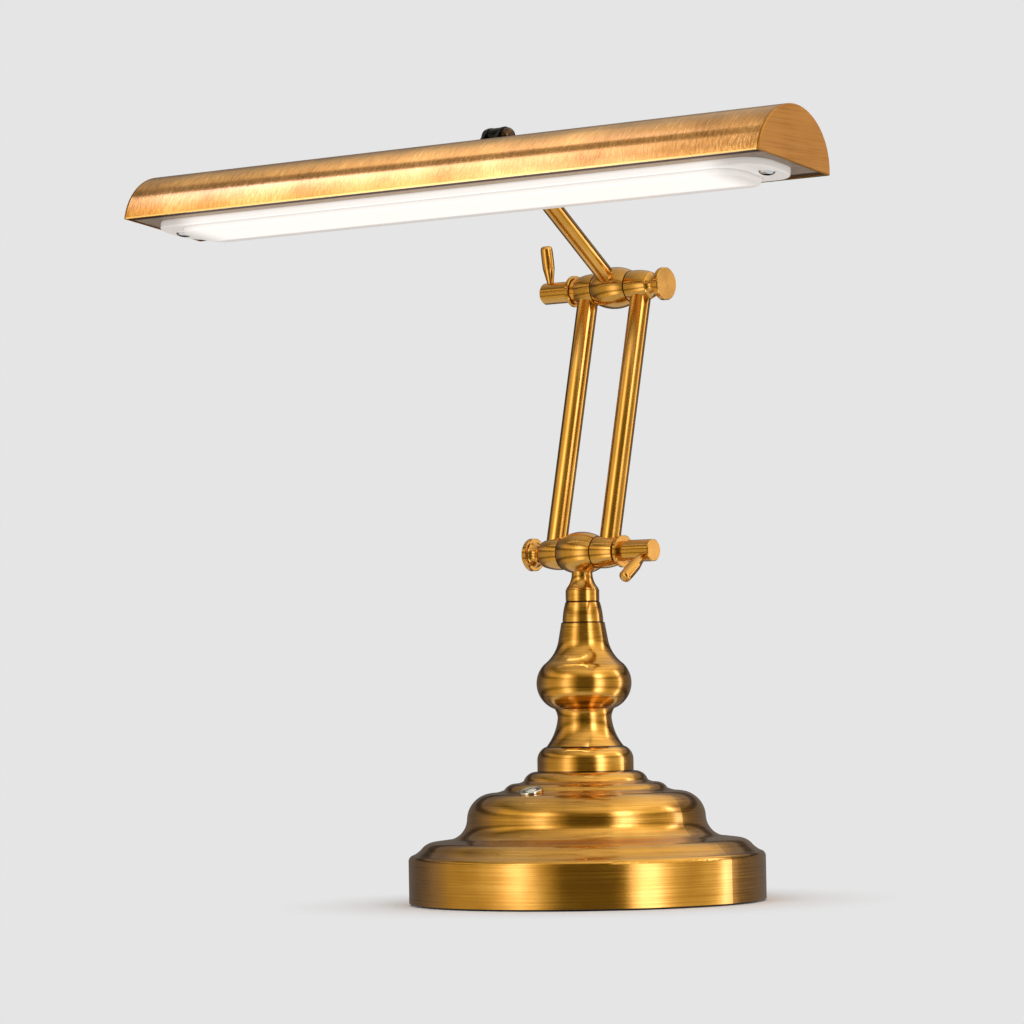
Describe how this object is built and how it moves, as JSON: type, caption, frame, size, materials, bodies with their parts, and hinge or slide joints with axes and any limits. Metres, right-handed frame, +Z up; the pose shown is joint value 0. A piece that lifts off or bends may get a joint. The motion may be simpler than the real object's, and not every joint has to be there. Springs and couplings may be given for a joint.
{
  "type": "piano lamp",
  "caption": "Brass piano lamp with a weighted stepped base, a turned stem, a folding arm with lever-clamped knuckles, and a long half-round shade that tilts over a flat diffuser.",
  "frame": {"origin": "middle of the base's underside, on the desk", "axes": "+X along the shade and both knuckle bolts, to the end with the lower clamp lever; -Y to the front, where the shade hangs; +Z up"},
  "size_m": [0.3504, 0.1861, 0.3382],
  "materials": {
    "polished_brass": "polished, clear lacquer",
    "satin_brass": "fine brushed, clear lacquer",
    "steel": "zinc plated",
    "chrome": "polished",
    "iron": "as cast, painted",
    "rubber": "moulded",
    "felt": "pressed felt",
    "fibre": "pressed fibre",
    "black_case": "moulded",
    "lacquered_plate": "satin lacquer",
    "aluminium": "mill finish",
    "light_chip": "moulded",
    "opal": "opal, satin"
  },
  "bodies": {
    "base": {"base_pad": "felt", "base_plate": "steel", "plate_screws": "steel", "base_weight": "iron", "base_shell": "polished_brass", "stem_tube": "steel", "stem_washer": "steel", "stem_nut": "steel", "spacer_sleeve": "steel", "cord_bushing": "rubber", "light_driver": "black_case", "button_bezel": "chrome", "switch_body": "black_case", "switch_nut": "steel", "stem_foot": "polished_brass", "stem_baluster": "polished_brass", "stem_cone": "polished_brass", "neck_collar": "polished_brass", "lower_barrel": "polished_brass"},
    "button": {"button_cap": "chrome"},
    "arm": {"lower_ring_left": "polished_brass", "arm_tube_left": "polished_brass", "upper_ring_left": "polished_brass", "lower_ring_right": "polished_brass", "arm_tube_right": "polished_brass", "upper_ring_right": "polished_brass", "lower_bolt": "steel", "lower_friction_washers": "fibre", "lower_cap": "polished_brass", "lower_cup_washer": "polished_brass", "upper_bolt": "steel", "upper_friction_washers": "fibre", "upper_cap": "polished_brass", "upper_cup_washer": "polished_brass"},
    "lower_lever": {"lower_clamp_nut": "polished_brass", "lower_lever": "polished_brass"},
    "upper_lever": {"upper_clamp_nut": "polished_brass", "upper_lever": "polished_brass"},
    "head": {"upper_barrel": "polished_brass", "head_tube": "polished_brass", "head_eye": "polished_brass"},
    "shade": {"pivot_screw": "chrome", "pivot_nut": "polished_brass", "shade_bracket": "polished_brass", "bracket_rivets": "polished_brass", "shade_shell": "satin_brass", "shade_cap_left": "satin_brass", "shade_cap_right": "satin_brass", "lamp_plate": "lacquered_plate", "light_board": "aluminium", "light_chips": "light_chip", "diffuser": "opal", "diffuser_screws": "chrome"}
  },
  "joints": [
    {"name": "arm_swing", "type": "hinge", "parent": "base", "child": "arm", "pos_m": [0, 0, 0.154], "axis": [1, 0, 0], "range_deg": [-75, 90]},
    {"name": "head_swing", "type": "hinge", "parent": "arm", "child": "head", "pos_m": [0, 0.02818, 0.27321], "axis": [1, 0, 0], "range_deg": [-100, 70]},
    {"name": "shade_tilt", "type": "hinge", "parent": "head", "child": "shade", "pos_m": [0, -0.05402, 0.3336], "axis": [1, 0, 0], "range_deg": [-70, 35]},
    {"name": "lower_lever_turn", "type": "hinge", "parent": "arm", "child": "lower_lever", "pos_m": [0, 0, 0.154], "axis": [1, 0, 0], "range_deg": [0, 150]},
    {"name": "upper_lever_turn", "type": "hinge", "parent": "arm", "child": "upper_lever", "pos_m": [0, 0.02818, 0.27321], "axis": [-1, 0, 0], "range_deg": [0, 150]},
    {"name": "button_push", "type": "slide", "parent": "base", "child": "button", "axis": [0, 0.2756, -0.9613], "range_m": [0, 0.0012], "stiffness_N_per_m": 500, "springref_m": -0.002}
  ]
}
